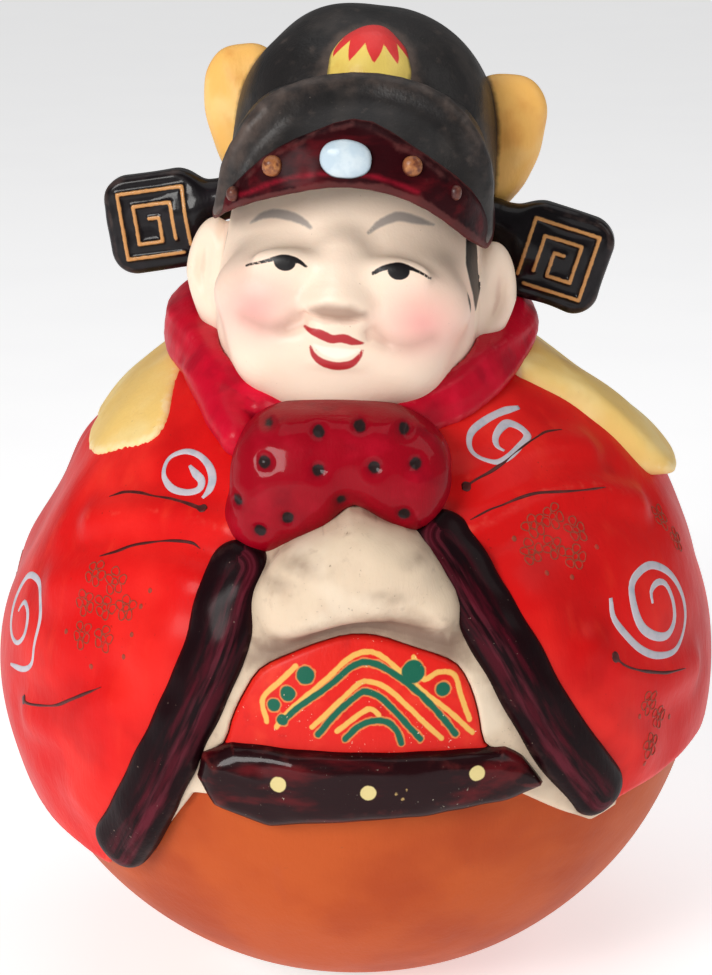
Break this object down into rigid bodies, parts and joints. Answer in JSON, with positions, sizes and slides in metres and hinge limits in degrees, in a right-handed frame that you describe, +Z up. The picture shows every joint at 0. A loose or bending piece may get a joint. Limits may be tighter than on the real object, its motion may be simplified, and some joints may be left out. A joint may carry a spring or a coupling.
{
  "type": "ceramic tumbler doll",
  "caption": "Round-bottomed hand-painted ceramic doll of an official in a red robe, with clasped hands, a yellow shoulder mantle and a black hat with side wings.",
  "frame": {"origin": "on the surface that the doll stands on, under the middle of its bounding box", "axes": "+Z up, the doll faces -Y, +X towards the doll's own left"},
  "size_m": [0.1308, 0.1298, 0.1747],
  "materials": {
    "body_orange": "satin",
    "robe_red": "satin",
    "scarf_crimson": "gloss",
    "trim_maroon": "gloss",
    "mantle_yellow": "satin",
    "lobe_yellow": "satin",
    "skin_cream": "satin",
    "hands_white": "satin",
    "hat_black": "matte",
    "wing_black": "gloss",
    "gem_blue": "gloss",
    "stud_gold": "satin",
    "plaster": "matte",
    "plug_cork": "matte"
  },
  "bodies": {
    "root": {"body_shell": "body_orange", "ballast": "plaster", "filler_plug": "plug_cork", "apron_panel": "robe_red", "apron_hem": "trim_maroon", "clasped_hands": "hands_white", "under_sleeve_left": "hands_white", "under_sleeve_right": "hands_white", "cuff_left": "trim_maroon", "cuff_right": "trim_maroon", "sleeve_left": "robe_red", "sleeve_right": "robe_red", "robe_back": "robe_red", "shoulder_mantle": "mantle_yellow", "neck_scarf": "scarf_crimson", "dotted_bow": "scarf_crimson", "head": "skin_cream", "hat_front": "hat_black", "hat_crown": "hat_black", "hat_band": "trim_maroon", "hat_gem": "gem_blue", "hat_crest": "lobe_yellow", "hat_wing_left": "wing_black", "hat_wing_right": "wing_black", "hat_lobe_left": "lobe_yellow", "hat_lobe_right": "lobe_yellow", "hat_stud_inner_left": "stud_gold", "hat_stud_inner_right": "stud_gold", "hat_stud_outer_left": "stud_gold", "hat_stud_outer_right": "stud_gold"}
  },
  "joints": []
}
